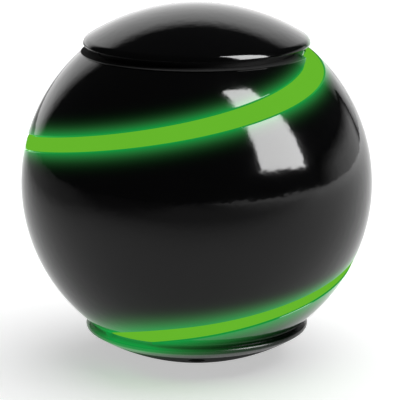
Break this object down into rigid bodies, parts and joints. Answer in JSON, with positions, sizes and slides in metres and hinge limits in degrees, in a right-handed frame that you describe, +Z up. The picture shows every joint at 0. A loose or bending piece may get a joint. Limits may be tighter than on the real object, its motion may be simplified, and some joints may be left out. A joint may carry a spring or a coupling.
{
  "type": "hidden maze ball puzzle",
  "caption": "Gloss black ball on a flattened base, with a domed cap over a narrow gap and a lit green ribbon wound round it; a steel ball runs through stacked maze levels inside.",
  "frame": {"origin": "centre of the foot ring, on the surface that the ball stands on", "axes": "+Z up through the ball and its cap, -Y towards the front where the ribbon crosses below the cap"},
  "size_m": [0.1, 0.1, 0.1012],
  "materials": {
    "gloss_black": "high-gloss black, like piano lacquer",
    "ribbon_green": "translucent green light guide, lit",
    "graphite": "satin moulded",
    "lime": "satin moulded",
    "steel": "polished",
    "zinc_steel": "bright zinc plate",
    "brass": "spring brass",
    "rubber": "matt black",
    "board_green": "solder mask",
    "led_clear": "clear green lens",
    "lead_black": "wire sleeve"
  },
  "bodies": {
    "ball_body": {"base_dish": "gloss_black", "base_screw_1": "zinc_steel", "base_screw_2": "zinc_steel", "base_screw_3": "zinc_steel", "board_screw_1": "zinc_steel", "board_screw_2": "zinc_steel", "board_screw_3": "zinc_steel", "body_shell_lower": "gloss_black", "body_shell_upper": "gloss_black", "button_cell_1": "zinc_steel", "button_cell_2": "zinc_steel", "button_cell_3": "zinc_steel", "cell_contact_upper": "brass", "cell_tube": "graphite", "deck_screw_1": "zinc_steel", "deck_screw_2": "zinc_steel", "deck_screw_3": "zinc_steel", "foot_ring": "rubber", "goal_contact_left": "brass", "goal_contact_right": "brass", "goal_cup": "graphite", "goal_lead": "lead_black", "led_board": "board_green", "led_lower": "led_clear", "led_upper": "led_clear", "light_ribbon": "ribbon_green", "lower_bush": "brass", "lower_led_lead": "lead_black", "maze_level_1": "graphite", "maze_level_3": "graphite", "maze_level_5": "graphite", "start_deck": "graphite", "upper_bush": "brass", "upper_led_lead": "lead_black"},
    "spindle_body": {"spindle": "zinc_steel", "spindle_clip": "zinc_steel", "cap_grip_ring": "rubber", "maze_level_2": "lime", "maze_level_4": "lime"},
    "cap_body": {"top_cap_dome": "gloss_black", "top_cap_liner": "graphite", "cap_screw_1": "zinc_steel", "cap_screw_2": "zinc_steel", "cap_screw_3": "zinc_steel"},
    "steel_ball_body": {"steel_ball": "steel"},
    "door_body": {"battery_door": "gloss_black", "cell_contact_lower": "brass"}
  },
  "joints": [
    {"name": "cap_turn", "type": "hinge", "parent": "ball_body", "child": "spindle_body", "pos_m": [0, 0, 0.05], "axis": [0, 0, 1], "continuous": true},
    {"name": "cap_lift", "type": "slide", "parent": "spindle_body", "child": "cap_body", "axis": [0, 0, 1], "range_m": [0, 0.045]},
    {"name": "steel_ball_roll", "type": "hinge", "parent": "ball_body", "child": "steel_ball_body", "pos_m": [0, 0, 0.05], "axis": [0, 0, 1], "range_deg": [-105, 165]},
    {"name": "battery_door_turn", "type": "hinge", "parent": "ball_body", "child": "door_body", "pos_m": [0, 0, 0.001], "axis": [0, 0, -1], "range_deg": [0, 60]}
  ]
}
